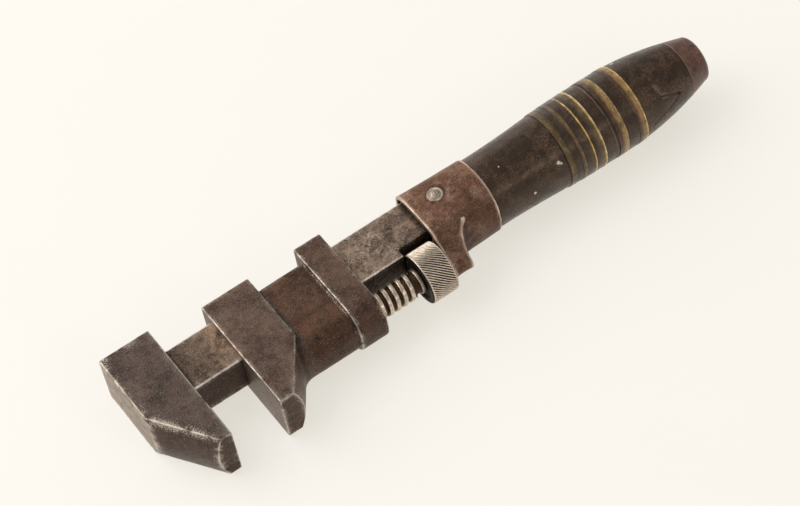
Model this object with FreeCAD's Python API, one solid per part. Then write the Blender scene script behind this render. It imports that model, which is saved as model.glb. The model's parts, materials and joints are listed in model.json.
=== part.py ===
"""Screw-adjusted sliding-jaw wrench, ten-inch size, lying on its side.

Working axes: X runs from the head's striking face to the butt of the handle, -Y points to the jaw
tips, Z is across the jaws' thickness.  The bar's centre line is y = 0, z = 0.  Millimetres.
"""
import FreeCAD, Part
import math
import os

V = FreeCAD.Vector
X_DIR, Y_DIR, Z_DIR = V(1, 0, 0), V(0, 1, 0), V(0, 0, 1)

# ---- driving dimensions -------------------------------------------------------------------
LENGTH = 254.0              # striking face to the peened end of the tang

HEAD_LENGTH = 21.3          # striking face to the fixed jaw's gripping face
JAW_THICK = 22.5            # both jaws and the collar, across Z
HEAD_SPINE_Y = 20.3
JAW_TIP_Y = -36.2
HEAD_BEVEL_Y = -11.0        # where the sloping back starts on the striking face
HEAD_TIP_X = 16.5           # the sloping back ends here, leaving a flat tip
CROWN = 2.3                 # how far the sloping backs bulge at mid thickness
FORGED_EDGE = 0.45          # worn radius on the forged edges

BAR_WIDTH = 20.7
BAR_THICK = 17.0
BAR_END_X = 150.5           # the square bar ends here and the round tang begins
NOTCH_START_X = 112.3       # recess in the bar's edge that clears the rosette
NOTCH_END_X = 127.0
NOTCH_FLOOR_Y = -6.6
TANG_R = 4.0

SLIDE_FIT = 0.12            # all round between the bar and the sliding jaw
GAP_AT_REST = 20.1          # jaw opening as drawn
SLIDING_JAW_LENGTH = 20.5
SLIDING_SPINE_Y = 16.3
SLIDING_BEVEL_Y = -15.3
SLIDING_TIP_LENGTH = 5.8    # flat tip behind the gripping face
SLEEVE_TOP_Z = 9.9
SLEEVE_SPINE_Y = 9.7
SLEEVE_NEAR_Y = -25.4
SLEEVE_ROUND = 8.2
COLLAR_START_X = 81.5
COLLAR_END_X = 93.2
COLLAR_SPINE_Y = 16.1
COLLAR_NEAR_Y = -26.5
COLLAR_ROUND = 9.3

SCREW_Y = -17.2             # screw axis, parallel to the bar
PITCH = 3.2                 # single-start, left-hand, square-shouldered thread
THREAD_PHASE_X = 0.8        # where a crest crosses the far side of the screw
SCREW_CREST_R = 5.4
SCREW_ROOT_R = 4.1
CREST_WIDTH = 1.65
FLANK_SPREAD = 0.3          # the ridge is this much wider at its root
THREAD_FIT = 0.18           # clearance on the crest, the root and each flank
SCREW_TIP_X = 64.0
THREAD_END_X = 109.4
SHOULDER_START_X = 111.4
SHOULDER_R = 5.0
PIVOT_R = 2.5
PIVOT_LENGTH = 4.6
PIVOT_FIT = 0.05
JAW_HOLE_BOTTOM_X = 44.4    # blind end of the screw hole
JAW_THREAD_START_X = 62.0
JAW_RELIEF_R = 5.75

ROSETTE_START_X = 112.8
ROSETTE_LENGTH = 11.1
ROSETTE_R = 10.2
ROSETTE_EDGE = 0.6
ROSETTE_DISH_R = 7.6        # shallow dished recess in the front face
ROSETTE_DISH_DEPTH = 0.7

FERRULE_START_X = 124.6
FERRULE_END_X = 152.3
# Outer section at each end: half width in Y, half height in Z, corner radius.
FERRULE_FRONT = (13.2, 12.2, 5.0)
FERRULE_REAR = (14.2, 14.2, 12.0)
FERRULE_STEPS = 7           # straight lengths from one end section to the other
SIDE_BOW = 1.03             # the sides are slightly domed: mid-side radius over edge distance
FERRULE_MOUTH_DEPTH = 6.0
FERRULE_MOUTH_GAP = 1.5     # opening is larger than the bar by this much on three sides
FERRULE_MOUTH_ROUND = 2.6   # its corners are rounded, to keep the wall whole
FERRULE_FIT = 0.1
LUG_END_Y = -24.7
LUG_END_R = 3.0             # rounded end of the lug, seen along the screw
LUG_ROOT_Z = 11.0
# Slanting rear edge of the lug from its end to the ferrule: distance behind the front face, y.
LUG_REAR_EDGE = [(7.8, -25.7), (8.0, -22.4), (8.8, -18.6), (10.4, -15.2), (13.2, -11.8), (17.5, -9.6)]
RIVET_X = 135.4
RIVET_Y = 1.8
RIVET_R = 1.6
RIVET_HEAD_R = 2.5
RIVET_HEAD_H = 1.35
RIVET_SEAT_Z = 13.0         # underside of each domed head

HANDLE_FRONT_R = 14.6
HANDLE_MAX_R = 16.1
HANDLE_SWELL_START_X = 156.0
HANDLE_SWELL_END_X = 200.0
HANDLE_TAPER_START_X = 214.0
HANDLE_TAPER_LENGTH = 38.0
HANDLE_TAPER_DROP = 6.5
HANDLE_TAPER_POWER = 1.8
HANDLE_BORE_R = 4.1
DISC_EDGE = 0.12            # rounding on the edges of each disc
OUTLINE_STEP = 4.0          # spacing of the points of a long barrel's outline
CAP_START_X = 243.9
CAP_END_X = 253.5
CAP_ROUND = 2.2
BUTT_RECESS_R = 6.4
BUTT_RECESS_DEPTH = 3.2
WASHER_R = 6.1
WASHER_THICK = 1.2
NUT_R = 5.2
NUT_SLOT = 1.4
PEEN_HEIGHT = 0.9

# Handle stack from front to back: name, where it starts, how much it stands below the outline.
HANDLE_STACK = [
    ("front_barrel", 152.3, 0.25),
    ("amber_disc_1", 183.7, 0.0),
    ("black_disc_1", 186.3, 0.1),
    ("amber_disc_2", 189.0, 0.0),
    ("brown_disc_1", 190.8, 0.05),
    ("bright_washer_1", 194.5, 0.0),
    ("brown_disc_2", 195.2, 0.1),
    ("bright_washer_2", 198.9, 0.0),
    ("black_disc_2", 199.8, 0.12),
    ("pale_washer", 204.4, 0.05),
    ("black_disc_3", 204.8, 0.3),
    ("amber_disc_3", 205.8, 0.0),
    ("bright_washer_3", 209.2, 0.0),
    ("black_disc_4", 210.0, 0.12),
    ("amber_disc_4", 215.1, 0.0),
    ("bright_washer_4", 217.9, 0.0),
    ("rear_barrel", 219.0, 0.2),
    ("end_cap", CAP_START_X, 0.25),
]

SLIDING_JAW_X = HEAD_LENGTH + GAP_AT_REST
SLIDING_JAW_END_X = SLIDING_JAW_X + SLIDING_JAW_LENGTH
OVER = 1.0                  # cutting tools run past the surface by this much

# The part's origin: below the middle of the wrench, level with the lowest point of the handle.
ORIGIN = V(LENGTH / 2, (HEAD_SPINE_Y + JAW_TIP_Y) / 2, -HANDLE_MAX_R)


# ---- building blocks ----------------------------------------------------------------------
def block(x0, x1, y0, y1, z0, z1):
    return Part.makeBox(x1 - x0, y1 - y0, z1 - z0, V(x0, y0, z0))


def rod(x0, x1, radius, y=0.0, z=0.0):
    return Part.makeCylinder(radius, x1 - x0, V(x0, y, z), X_DIR)


def plate(points, thick):
    """A flat plate with the outline `points` in XY, centred on z = 0."""
    corners = [V(x, y, -thick / 2) for x, y in points]
    outline = Part.makePolygon(corners + corners[:1])
    return Part.Face(outline).extrude(Z_DIR * thick)


def soften(shape, radius, chosen):
    """Round the edges for which chosen(edge) is true."""
    return shape.makeFillet(radius, [edge for edge in shape.Edges if chosen(edge)])


def crowned(shape, start, end, thick):
    """Crown the sloping back from start to end in XY; the metal is on the left of that line."""
    start, end = V(*start, 0), V(*end, 0)
    along = (end - start).normalize()
    outward = V(along.y, -along.x, 0)
    run = (end - start).Length
    radius = (thick * thick / 4 + CROWN * CROWN) / (2 * CROWN)
    first = start - along * run
    corners = [first, first + along * (3 * run), first + along * (3 * run) + outward * (3 * CROWN),
               first + outward * (3 * CROWN)]
    slab = Part.Face(Part.makePolygon(corners + corners[:1])).extrude(Z_DIR * (thick + 2 * OVER))
    slab.translate(Z_DIR * (-thick / 2 - OVER))
    barrel = Part.makeCylinder(radius, 3 * run, first + outward * (CROWN - radius), along)
    return shape.cut(slab.cut(barrel))


def rounded_prism(x0, x1, spine_y, near_y, half_z, corner):
    """A block along X whose two long edges on the near side are rounded."""
    body = block(x0, x1, near_y, spine_y, -half_z, half_z)
    middle_x = (x0 + x1) / 2
    return soften(body, corner, lambda e: (e.CenterOfMass - V(middle_x, near_y, 0)).Length < half_z + OVER
                  and abs(e.CenterOfMass.x - middle_x) < OVER / 4 and abs(e.CenterOfMass.z) > OVER)


def helical_ridge(x0, x1, root_r, crest_r, root_width, crest_width):
    """A left-hand thread ridge around the screw axis; its phase is set by x alone."""
    first_turn = math.floor((x0 - THREAD_PHASE_X) / PITCH) * PITCH + THREAD_PHASE_X
    turns = math.ceil((x1 - first_turn) / PITCH)
    helix = Part.makeHelix(PITCH, turns * PITCH, crest_r, 0, True)
    section = [V(root_r, 0, -root_width / 2), V(crest_r, 0, -crest_width / 2),
               V(crest_r, 0, crest_width / 2), V(root_r, 0, root_width / 2)]
    outline = Part.makePolygon(section + section[:1])
    ridge = Part.Wire(helix).makePipeShell([outline], True, True)
    ridge.rotate(V(0, 0, 0), Y_DIR, 90)
    ridge.translate(V(first_turn, SCREW_Y, 0))
    return ridge


# ---- pieces -------------------------------------------------------------------------------
def bar_with_fixed_jaw():
    slope = (JAW_TIP_Y - HEAD_BEVEL_Y) / HEAD_TIP_X
    room = 2 * CROWN
    head = plate([(0, HEAD_SPINE_Y), (0, HEAD_BEVEL_Y - room), (HEAD_TIP_X + room / slope, JAW_TIP_Y),
                  (HEAD_LENGTH, JAW_TIP_Y), (HEAD_LENGTH, HEAD_SPINE_Y)], JAW_THICK)
    head = crowned(head, (0, HEAD_BEVEL_Y), (HEAD_TIP_X, JAW_TIP_Y), JAW_THICK)
    head = soften(head, FORGED_EDGE, lambda edge: True)
    bar = block(HEAD_LENGTH / 2, BAR_END_X, -BAR_WIDTH / 2, BAR_WIDTH / 2, -BAR_THICK / 2, BAR_THICK / 2)
    bar = soften(bar, FORGED_EDGE, lambda edge: edge.Length > BAR_END_X / 2)
    notch = block(NOTCH_START_X, NOTCH_END_X, -BAR_WIDTH, NOTCH_FLOOR_Y, -BAR_THICK, BAR_THICK)
    tang = rod(BAR_END_X - OVER, LENGTH - PEEN_HEIGHT, TANG_R)
    peen = rod(LENGTH - PEEN_HEIGHT, LENGTH, TANG_R)
    peen = soften(peen, PEEN_HEIGHT * 0.9, lambda e: e.CenterOfMass.x > LENGTH - OVER / 4 and e.Closed)
    return head.fuse([bar.cut(notch), tang, peen]).removeSplitter()


def screw_hole():
    """Blind hole for the screw: a plain relief at its end and a thread up to the collar's mouth."""
    minor = SCREW_ROOT_R + THREAD_FIT
    major = SCREW_CREST_R + THREAD_FIT
    relief = rod(JAW_HOLE_BOTTOM_X, JAW_THREAD_START_X, JAW_RELIEF_R, SCREW_Y)
    drill = rod(JAW_HOLE_BOTTOM_X, COLLAR_END_X + OVER, minor, SCREW_Y)
    groove_crest = CREST_WIDTH + 2 * THREAD_FIT
    groove = helical_ridge(JAW_THREAD_START_X - PITCH / 2, COLLAR_END_X + PITCH, minor - OVER / 4, major,
                           groove_crest + FLANK_SPREAD, groove_crest)
    return drill.fuse([groove, relief])


def sliding_jaw():
    front, rear = SLIDING_JAW_X, SLIDING_JAW_END_X
    tip_x = front + SLIDING_TIP_LENGTH
    room = 2 * CROWN
    slope = (SLIDING_BEVEL_Y - JAW_TIP_Y) / (rear - tip_x)
    jaw = plate([(front, SLIDING_SPINE_Y), (front, JAW_TIP_Y), (tip_x + room / slope, JAW_TIP_Y),
                 (rear, SLIDING_BEVEL_Y - room), (rear, SLIDING_SPINE_Y)], JAW_THICK)
    jaw = crowned(jaw, (tip_x, JAW_TIP_Y), (rear, SLIDING_BEVEL_Y), JAW_THICK)
    jaw = soften(jaw, FORGED_EDGE, lambda edge: True)
    sleeve = rounded_prism(rear - SLIDING_JAW_LENGTH / 2, COLLAR_START_X + OVER, SLEEVE_SPINE_Y,
                           SLEEVE_NEAR_Y, SLEEVE_TOP_Z, SLEEVE_ROUND)
    collar = rounded_prism(COLLAR_START_X, COLLAR_END_X, COLLAR_SPINE_Y, COLLAR_NEAR_Y, JAW_THICK / 2,
                           COLLAR_ROUND)
    collar = soften(collar, FORGED_EDGE, lambda edge: True)
    forging = jaw.fuse([sleeve, collar])
    half_width = BAR_WIDTH / 2 + SLIDE_FIT
    half_thick = BAR_THICK / 2 + SLIDE_FIT
    slot = block(front - OVER, COLLAR_END_X + OVER, -half_width, half_width, -half_thick, half_thick)
    return forging.cut(slot).cut(screw_hole())


def adjusting_screw():
    core = rod(SCREW_TIP_X, ROSETTE_START_X + OVER, SCREW_ROOT_R, SCREW_Y)
    ridge = helical_ridge(SCREW_TIP_X - PITCH, THREAD_END_X + PITCH, SCREW_ROOT_R - OVER / 4, SCREW_CREST_R,
                          CREST_WIDTH + FLANK_SPREAD, CREST_WIDTH)
    ridge = ridge.common(rod(SCREW_TIP_X, THREAD_END_X, SCREW_CREST_R + OVER, SCREW_Y))
    shoulder = rod(SHOULDER_START_X, ROSETTE_START_X, SHOULDER_R, SCREW_Y)
    journal = rod(ROSETTE_START_X, ROSETTE_START_X + ROSETTE_LENGTH, SCREW_ROOT_R, SCREW_Y)
    pivot_end = FERRULE_START_X + PIVOT_LENGTH
    pivot = rod(ROSETTE_START_X, pivot_end, PIVOT_R, SCREW_Y)
    return core.fuse([ridge, shoulder, journal, pivot])


def knurled_rosette():
    end = ROSETTE_START_X + ROSETTE_LENGTH
    ring = rod(ROSETTE_START_X, end, ROSETTE_R, SCREW_Y)
    ring = ring.makeChamfer(ROSETTE_EDGE, [edge for edge in ring.Edges if edge.Closed])
    dish = rod(ROSETTE_START_X - OVER, ROSETTE_START_X + ROSETTE_DISH_DEPTH, ROSETTE_DISH_R, SCREW_Y)
    bore = rod(ROSETTE_START_X - OVER, end + OVER, SCREW_ROOT_R, SCREW_Y)
    return ring.cut(dish).cut(bore)


def ferrule_section(x, half_y, half_z, corner):
    """Closed section of eight arcs: four bowed sides and four rounded corners."""
    inner_y, inner_z = half_y - corner, half_z - corner
    arcs = []
    for turn in range(4):
        side = math.radians(90 * turn)
        half_a, half_b = ((half_y, inner_z), (half_z, inner_y))[turn % 2]
        out = V(0, math.cos(side), math.sin(side))
        across = V(0, -math.sin(side), math.cos(side))
        base = V(x, 0, 0)
        start = base + out * half_a - across * half_b
        stop = base + out * half_a + across * half_b
        arcs.append(Part.Arc(start, base + out * (half_a * SIDE_BOW), stop).toShape())
        corner_centre = base + out * (half_a - corner) + across * half_b
        diagonal = (out + across).normalize()
        corner_end = corner_centre + across * corner
        arcs.append(Part.Arc(stop, corner_centre + diagonal * corner, corner_end).toShape())
    return Part.Wire(arcs)


def lug():
    """Gusset beside the rosette: a plan outline in XY crossed with a tapering outline in YZ."""
    front = FERRULE_START_X
    nose_y = LUG_END_Y + LUG_END_R
    root_y = -BAR_WIDTH / 2
    rear_edge = [(front + behind, y) for behind, y in LUG_REAR_EDGE]
    plan = plate([(front, root_y), (front, LUG_END_Y - OVER)] + rear_edge, 3 * LUG_ROOT_Z)
    tilt = math.atan2(LUG_ROOT_Z - LUG_END_R, root_y - nose_y)
    touch_y = nose_y - LUG_END_R * math.sin(tilt)
    touch_z = LUG_END_R * math.cos(tilt)
    low, high = V(front - OVER, touch_y, -touch_z), V(front - OVER, touch_y, touch_z)
    nose = Part.Arc(high, V(front - OVER, LUG_END_Y, 0), low).toShape()
    root_low, root_high = V(front - OVER, root_y, -LUG_ROOT_Z), V(front - OVER, root_y, LUG_ROOT_Z)
    sides = [Part.makeLine(low, root_low), Part.makeLine(root_low, root_high), Part.makeLine(root_high, high)]
    outline = Part.Face(Part.Wire([nose] + sides)).extrude(X_DIR * (3 * LUG_ROOT_Z))
    return plan.common(outline)


def ferrule():
    sections = []
    for step in range(FERRULE_STEPS + 1):
        part = step / FERRULE_STEPS
        x = FERRULE_START_X + part * (FERRULE_END_X - FERRULE_START_X)
        sizes = [front + part * (rear - front) for front, rear in zip(FERRULE_FRONT, FERRULE_REAR)]
        sections.append(ferrule_section(x, *sizes))
    shell = Part.makeLoft(sections, True, True)
    shell = shell.fuse(lug())
    half_width, half_thick = BAR_WIDTH / 2 + FERRULE_FIT, BAR_THICK / 2 + FERRULE_FIT
    before = FERRULE_START_X - OVER
    snug = block(before, FERRULE_END_X + OVER, -half_width, half_width, -half_thick, half_thick)
    gap = FERRULE_MOUTH_GAP
    mouth = block(before, FERRULE_START_X + FERRULE_MOUTH_DEPTH, -half_width, half_width + gap,
                  -half_thick - gap, half_thick + gap)
    mouth = soften(mouth, FERRULE_MOUTH_ROUND, lambda edge: edge.Length < FERRULE_MOUTH_DEPTH + 2 * OVER)
    hole_end = FERRULE_START_X + PIVOT_LENGTH + 4 * PIVOT_FIT
    pivot_hole = rod(before, hole_end, PIVOT_R + PIVOT_FIT, SCREW_Y)
    return shell.cut(snug).cut(mouth).cut(pivot_hole)


def handle_radius(x):
    """Outline of the grip: a slow swell behind the ferrule, then a taper to the butt."""
    swell = (x - HANDLE_SWELL_START_X) / (HANDLE_SWELL_END_X - HANDLE_SWELL_START_X)
    swell = min(max(swell, 0.0), 1.0)
    rise = (HANDLE_MAX_R - HANDLE_FRONT_R) * swell * swell * (3 - 2 * swell)
    taper = max(x - HANDLE_TAPER_START_X, 0.0) / HANDLE_TAPER_LENGTH
    return HANDLE_FRONT_R + rise - HANDLE_TAPER_DROP * taper ** HANDLE_TAPER_POWER


def edge_arc(x, radius, size, toward):
    """Quarter round of the given size from the outline at x, radius to a flat end face."""
    slant = size * math.sqrt(0.5)
    middle = V(x + toward * slant, radius - size + slant, 0)
    return Part.Arc(V(x, radius, 0), middle, V(x + toward * size, radius - size, 0)).toShape()


def handle_piece(x0, x1, sunk, rear_edge=DISC_EDGE):
    """One ring of the handle stack, with rounded edges and a bore for the tang."""
    first_x, last_x = x0 + DISC_EDGE, x1 - rear_edge
    count = max(1, round((last_x - first_x) / OUTLINE_STEP))
    stations = [first_x + (last_x - first_x) * i / count for i in range(count + 1)]
    outline = [V(x, handle_radius(x) - sunk, 0) for x in stations]
    skin = Part.makeLine(outline[0], outline[-1])
    if count > 1:
        curve = Part.BSplineCurve()
        curve.interpolate(outline)
        skin = curve.toShape()
    front = edge_arc(first_x, outline[0].y, DISC_EDGE, -1)
    rear = edge_arc(last_x, outline[-1].y, rear_edge, 1)
    ends = Part.makePolygon([V(x1, outline[-1].y - rear_edge, 0), V(x1, HANDLE_BORE_R, 0),
                             V(x0, HANDLE_BORE_R, 0), V(x0, outline[0].y - DISC_EDGE, 0)])
    face = Part.Face(Part.Wire(Part.__sortEdges__([skin, rear, front] + ends.Edges)))
    return face.revolve(V(0, 0, 0), X_DIR, 360)


def end_cap(x0, x1, sunk):
    recess = rod(x1 - BUTT_RECESS_DEPTH, x1 + OVER, BUTT_RECESS_R)
    return handle_piece(x0, x1, sunk, CAP_ROUND).cut(recess)


def ferrule_rivet():
    """A pin through the ferrule and the bar with a domed head on each side."""
    seat = RIVET_SEAT_Z
    pin = Part.makeCylinder(RIVET_R, 2 * seat, V(RIVET_X, RIVET_Y, -seat), Z_DIR)
    dome_r = (RIVET_HEAD_R ** 2 + RIVET_HEAD_H ** 2) / (2 * RIVET_HEAD_H)
    heads = []
    for side in (1, -1):
        ball = Part.makeSphere(dome_r, V(RIVET_X, RIVET_Y, side * (seat + RIVET_HEAD_H - dome_r)))
        foot = V(RIVET_X, RIVET_Y, side * seat)
        keep = Part.makeCylinder(RIVET_HEAD_R, 2 * RIVET_HEAD_H, foot, Z_DIR * side)
        heads.append(ball.common(keep))
    return pin.fuse(heads)


def butt_washer():
    seat = CAP_END_X - BUTT_RECESS_DEPTH
    return rod(seat, seat + WASHER_THICK, WASHER_R).cut(rod(seat - OVER, seat + WASHER_THICK + OVER, TANG_R))


def tang_nut():
    start = CAP_END_X - BUTT_RECESS_DEPTH + WASHER_THICK
    nut = rod(start, LENGTH - PEEN_HEIGHT, NUT_R).cut(rod(start - OVER, LENGTH, TANG_R))
    half_slot, reach = NUT_SLOT / 2, NUT_R + OVER
    slot = block(LENGTH - PEEN_HEIGHT - half_slot, LENGTH, -reach, reach, -half_slot, half_slot)
    return nut.cut(slot)


# ---- assembly -----------------------------------------------------------------------------
def assemble():
    pieces = {
        "bar_with_fixed_jaw": bar_with_fixed_jaw(),
        "sliding_jaw": sliding_jaw(),
        "adjusting_screw": adjusting_screw(),
        "knurled_rosette": knurled_rosette(),
        "ferrule": ferrule(),
        "ferrule_rivet": ferrule_rivet(),
        "butt_washer": butt_washer(),
        "tang_nut": tang_nut(),
    }
    ends = [start for name, start, sunk in HANDLE_STACK[1:]] + [CAP_END_X]
    for (name, start, sunk), end in zip(HANDLE_STACK, ends):
        make = end_cap if name == "end_cap" else handle_piece
        pieces[name] = make(start, end, sunk)
    for name in ("bar_with_fixed_jaw", "ferrule"):
        pieces[name] = pieces[name].cut(pieces["ferrule_rivet"])
    return pieces


os.makedirs("parts", exist_ok=True)
for name, shape in assemble().items():
    shape = shape.copy()
    shape.translate(ORIGIN * -1)
    print(name, "valid" if shape.isValid() else "INVALID", len(shape.Solids), round(shape.Volume, 1))
    shape.exportStep("parts/" + name + ".step")
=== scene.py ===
import json
import math

import bmesh
import bpy
import numpy as np
from mathutils import Matrix, Vector
from mathutils.kdtree import KDTree


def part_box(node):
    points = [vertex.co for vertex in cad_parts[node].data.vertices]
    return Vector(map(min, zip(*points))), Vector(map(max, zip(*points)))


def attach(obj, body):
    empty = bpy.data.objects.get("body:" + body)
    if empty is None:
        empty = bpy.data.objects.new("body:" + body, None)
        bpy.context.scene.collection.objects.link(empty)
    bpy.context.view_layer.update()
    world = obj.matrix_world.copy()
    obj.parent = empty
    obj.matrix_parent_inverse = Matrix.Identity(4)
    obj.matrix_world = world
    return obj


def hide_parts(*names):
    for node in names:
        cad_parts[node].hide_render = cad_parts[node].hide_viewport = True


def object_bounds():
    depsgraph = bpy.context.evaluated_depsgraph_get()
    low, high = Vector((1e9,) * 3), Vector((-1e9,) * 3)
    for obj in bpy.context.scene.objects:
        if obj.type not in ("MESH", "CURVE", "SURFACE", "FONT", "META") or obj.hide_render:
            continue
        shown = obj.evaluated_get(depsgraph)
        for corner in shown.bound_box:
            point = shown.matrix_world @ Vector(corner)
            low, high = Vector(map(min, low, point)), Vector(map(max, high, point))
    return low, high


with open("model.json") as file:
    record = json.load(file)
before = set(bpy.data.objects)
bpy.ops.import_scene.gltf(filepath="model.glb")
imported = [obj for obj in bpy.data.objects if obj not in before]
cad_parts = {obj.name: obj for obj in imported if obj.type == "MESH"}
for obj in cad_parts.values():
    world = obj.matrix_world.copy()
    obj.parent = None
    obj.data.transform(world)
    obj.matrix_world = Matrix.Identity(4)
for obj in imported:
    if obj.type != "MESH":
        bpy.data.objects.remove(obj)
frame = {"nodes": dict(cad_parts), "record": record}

# A screw-adjusted wrench with a horn-ring handle, lying on its side on a pale table.
# Everything is in metres in the part's frame: +X from head to butt, -Y towards the jaw tips.

MM = 0.001
CAD_LOW, CAD_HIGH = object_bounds()
CAD_CENTRE = (CAD_LOW + CAD_HIGH) / 2

# ---- camera and light ---------------------------------------------------------------------
CAMERA_AZIMUTH = -25.54     # degrees; 0 looks along +Y
CAMERA_ELEVATION = 53.46
CAMERA_ROLL = -11.54
CAMERA_DISTANCE = 1.0889
CAMERA_LENS = 134.14        # millimetres on a 36 mm wide sensor
AIM_OFFSET = Vector((-12.46, 5.12, 0.0)) * MM

FLOOR_SIZE = 6.0
FLOOR_COLOUR = (0.34, 0.335, 0.345)
FLOOR_GLOW = (0.645, 0.620, 0.555)      # an over-lit table: most of its white doesn't depend on shadows
WORLD_COLOUR = (1.0, 0.985, 0.96)
WORLD_STRENGTH = 0.50
# name, direction from the wrench, distance, width, height, power in watts, colour
LIGHTS = [
    ("key_softbox", (-0.55, 0.50, 0.67), 1.7, 1.9, 1.7, 22.0, (1.0, 0.985, 0.96)),
    ("window_strip", (0.26, -0.80, 0.54), 1.5, 0.26, 0.18, 1.5, (1.0, 0.90, 0.80)),
    ("back_wall", (0.10, 0.94, 0.32), 1.6, 1.6, 0.6, 2.6, (1.0, 0.92, 0.83)),
]

# ---- mesh resolution ----------------------------------------------------------------------
FORGING_VOXEL = 0.44 * MM
FERRULE_VOXEL = 0.34 * MM
SCREW_VOXEL = 0.24 * MM
RIVET_VOXEL = 0.16 * MM
SHARP_ANGLE = math.radians(32)
FILLET_ANGLE = math.radians(5)
FILLET_R = 0.9 * MM         # rounded edges up to this radius count as edges
CORNER_STEP = 0.4 * MM
RING_SEGMENTS = 192
RING_ROW = 0.45 * MM

HEAD_LENGTH = 21.3 * MM     # the fixed jaw's block, from the striking face
JAW_BLOCK_LENGTH = 20.5 * MM
COLLAR_LENGTH = 11.7 * MM   # the band at the rear of the sleeve

# ---- rosette ------------------------------------------------------------------------------
KNURL_COUNT = 53
KNURL_ANGLE = 42.0          # degrees from the axis, right-hand
KNURL_DEPTH = 0.50 * MM
KNURL_SAMPLES = 10          # points around the ring for each groove

# ---- unevenness ---------------------------------------------------------------------------
FORGING_MARK_DEPTH = 0.07 * MM
FORGING_MARK_SIZE = 7 * MM
DISC_LUMP = 0.05 * MM       # how far a ring of the grip is out of round
BARREL_LUMP = 0.08 * MM
CAP_LUMP = 0.06 * MM
CHIP_DEPTH = 0.12 * MM      # chips on the rings' edges

# ---- broken flake on the rear barrel: (millimetres behind its front, degrees round from +Y) ---
GOUGE_R = 14.4 * MM
SCOOP_DEPTH = 0.33 * MM
CRACK_DEPTH = 0.60 * MM
LIP_DEPTH = 0.75 * MM
PIT_DEPTH = 1.3 * MM
CRACK_PATH = [(17.4, 162.0), (14.5, 168.5), (9.0, 174.0), (3.0, 181.0)]
FLAKE_LIP = [(7.4, 126.0), (8.9, 146.0), (12.0, 150.0), (17.4, 161.0)]


# ============================== noise and small helpers =====================================
LOW_32_BITS = 0xFFFFFFFF


def lattice_noise(points, seed):
    """Smooth value noise from -1 to 1 at each point; one lattice cell is one unit."""
    cell = np.floor(points).astype(np.int64)
    part = points - cell
    part = part * part * (3 - 2 * part)
    total = np.zeros(len(points))
    for corner in np.ndindex(2, 2, 2):
        spot = cell + np.array(corner)
        code = spot[:, 0] * 374761393 + spot[:, 1] * 668265263 + spot[:, 2] * 362437 + seed * 144665
        code = code & LOW_32_BITS
        code = ((code ^ (code >> 13)) * 1274126177) & LOW_32_BITS
        value = ((code ^ (code >> 16)) & 0xFFFF) / 32767.5 - 1
        weight = np.prod(np.where(np.array(corner) == 1, part, 1 - part), axis=1)
        total += weight * value
    return total


def layered_noise(points, size, seed, layers=3):
    """Sum of finer and finer noise; size is the width of the largest lumps."""
    total = np.zeros(len(points))
    for layer in range(layers):
        total += lattice_noise(points / size * 2 ** layer, seed + layer) / 2 ** layer
    return total / (2 - 2 ** (1 - layers))


def smoothstep(low, high, value):
    t = np.clip((value - low) / (high - low), 0, 1)
    return t * t * (3 - 2 * t)


def vertex_array(mesh):
    points = np.empty(len(mesh.vertices) * 3)
    mesh.vertices.foreach_get("co", points)
    return points.reshape(-1, 3)


def set_vertices(mesh, points):
    mesh.vertices.foreach_set("co", points.reshape(-1))
    mesh.update()


def vertex_normals(mesh):
    normals = np.empty(len(mesh.vertices) * 3)
    mesh.vertex_normals.foreach_get("vector", normals)
    return normals.reshape(-1, 3)


def new_piece(name, mesh, node, material):
    """Link a mesh as the visible piece that stands for one CAD node."""
    piece = bpy.data.objects.new(name, mesh)
    bpy.context.scene.collection.objects.link(piece)
    mesh.materials.clear()
    mesh.materials.append(material)
    mesh.polygons.foreach_set("use_smooth", [True] * len(mesh.polygons))
    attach(piece, body_of_node(node))
    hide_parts(node)
    return piece


def body_of_node(node):
    bodies = frame["record"]["behaviour"]["bodies"]
    return next(body for body, nodes in bodies.items() if node in nodes)


# ============================== material graphs =============================================
MIX_A, MIX_B, MIX_RESULT = 6, 7, 2      # sockets of the colour Mix node
# near-black: dirt in pits and seams, and painted shade in inner corners and deep cracks
DIRT_AND_SHADE = (0.018, 0.012, 0.009)
NEAR_SIDE_SHADE = (0.046, 0.022, 0.013)      # painted shade: brown darkening on the side facing -Y, away from the light
BARE = (0.56, 0.485, 0.405)             # steel rubbed bright
POLISHED = (0.88, 0.79, 0.68)
RUBBED_PATINA = (0.64, 0.49, 0.38)
HORN_ROUGHNESS = 0.20                   # where it is polished best
HORN_GLINT = (1.0, 0.80, 0.64)
DISC_DUST = 0.35                        # how much of the grip's skin is dulled
BARREL_DUST = 0.95


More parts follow.
